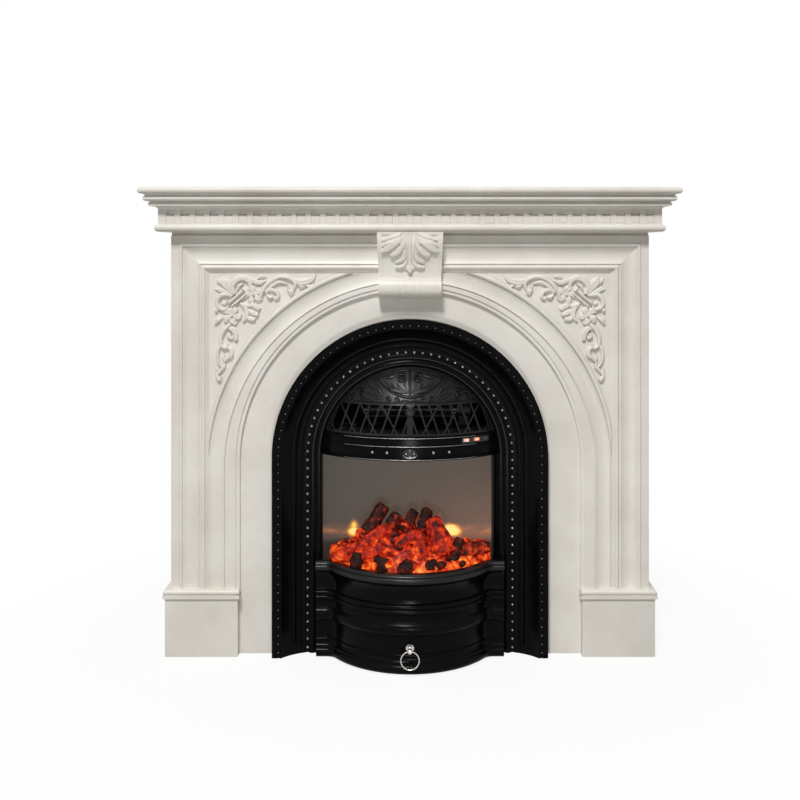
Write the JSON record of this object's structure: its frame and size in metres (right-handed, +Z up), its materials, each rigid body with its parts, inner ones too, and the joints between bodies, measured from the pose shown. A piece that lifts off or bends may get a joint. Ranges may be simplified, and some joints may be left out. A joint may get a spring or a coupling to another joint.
{
  "type": "fireplace mantel",
  "caption": "Arched white marble mantel with carved spandrels and a black cast electric fire with a pierced hood, glowing fuel bed and bowed basket.",
  "frame": {"origin": "middle of the footprint on the floor", "axes": "+Z up, -Y toward the viewer in front of the fire, +X to the viewer's right, wall at +Y"},
  "size_m": [1.371, 0.362, 1.205],
  "materials": {
    "marble": "honed warm white cast marble",
    "cast_black": "satin black stove enamel on cast iron",
    "black_steel": "matt black painted sheet steel",
    "zinc_steel": "zinc plated steel",
    "bright_metal": "polished nickel plate",
    "flame_screen": "smoked translucent screen, faintly lit",
    "embers": "moulded translucent resin lit from below",
    "log_resin": "painted resin bark",
    "switch_black": "matt black moulded plastic",
    "lit_rocker": "translucent rocker lit from inside",
    "dark_rocker": "translucent rocker, unlit",
    "motor_black": "moulded motor housing",
    "circuit": "green circuit board",
    "batten_timber": "planed softwood"
  },
  "bodies": {
    "mantel": {"arch_band": "marble", "arch_panel": "marble", "arch_surround": "cast_black", "archivolt": "marble", "basket_rim": "cast_black", "bed_mould": "marble", "blower_motor": "motor_black", "blower_scroll": "zinc_steel", "bowed_apron": "cast_black", "cable_gland": "switch_black", "canopy_plate": "black_steel", "control_board": "circuit", "cover_screws": "zinc_steel", "drawer_runners": "zinc_steel", "ember_bed": "embers", "firebox_shell": "black_steel", "flame_screen": "flame_screen", "frame_rail_left": "marble", "frame_rail_right": "marble", "frame_stile_left": "marble", "frame_stile_right": "marble", "frieze_board": "marble", "frieze_returns": "marble", "fuel_deck": "black_steel", "heater_element": "zinc_steel", "hood_medallion": "cast_black", "hood_rail": "cast_black", "keystone": "marble", "keystone_leaf": "marble", "led_board": "circuit", "log_left": "log_resin", "log_middle": "log_resin", "log_right": "log_resin", "mantel_shelf": "marble", "neck_bead": "marble", "pierced_hood": "cast_black", "plinth_block_left": "marble", "plinth_block_right": "marble", "plinth_caps": "marble", "rear_cover": "black_steel", "return_boards": "marble", "side_cheeks": "black_steel", "slip_clips": "zinc_steel", "slip_panel": "marble", "spandrel_carving_left": "marble", "spandrel_carving_right": "marble", "spindle_motor": "motor_black", "spindle_stands": "zinc_steel", "sub_shelf_mould": "marble", "switch_bezel": "switch_black", "wall_batten": "batten_timber"},
    "ash_drawer": {"drawer_front": "cast_black", "ash_pan": "black_steel", "pull_knob": "bright_metal"},
    "drop_ring": {"pull_ring": "bright_metal"},
    "flame_switch": {"flame_rocker": "lit_rocker"},
    "low_heat_switch": {"low_heat_rocker": "lit_rocker"},
    "high_heat_switch": {"high_heat_rocker": "dark_rocker"},
    "flicker_rotor": {"flicker_spindle": "zinc_steel"},
    "blower_rotor": {"blower_wheel": "zinc_steel"}
  },
  "joints": [
    {"name": "drawer_slide", "type": "slide", "parent": "mantel", "child": "ash_drawer", "axis": [0, -1, 0], "range_m": [0, 0.11]},
    {"name": "ring_swing", "type": "hinge", "parent": "ash_drawer", "child": "drop_ring", "pos_m": [0, -0.174, 0.0663], "axis": [-1, 0, 0], "range_deg": [0, 100]},
    {"name": "flame_rock", "type": "hinge", "parent": "mantel", "child": "flame_switch", "pos_m": [0.14203, -0.07971, 0.564], "axis": [0, 0, 1], "range_deg": [0, 16]},
    {"name": "low_heat_rock", "type": "hinge", "parent": "mantel", "child": "low_heat_switch", "pos_m": [0.16881, -0.06505, 0.564], "axis": [0, 0, 1], "range_deg": [0, 16]},
    {"name": "high_heat_rock", "type": "hinge", "parent": "mantel", "child": "high_heat_switch", "pos_m": [0.19045, -0.05062, 0.564], "axis": [0, 0, 1], "range_deg": [0, 16]},
    {"name": "flicker_spin", "type": "hinge", "parent": "mantel", "child": "flicker_rotor", "pos_m": [0, 0.086, 0.248], "axis": [1, 0, 0], "continuous": true},
    {"name": "blower_spin", "type": "hinge", "parent": "mantel", "child": "blower_rotor", "pos_m": [0, 0.068, 0.618], "axis": [1, 0, 0], "continuous": true}
  ]
}
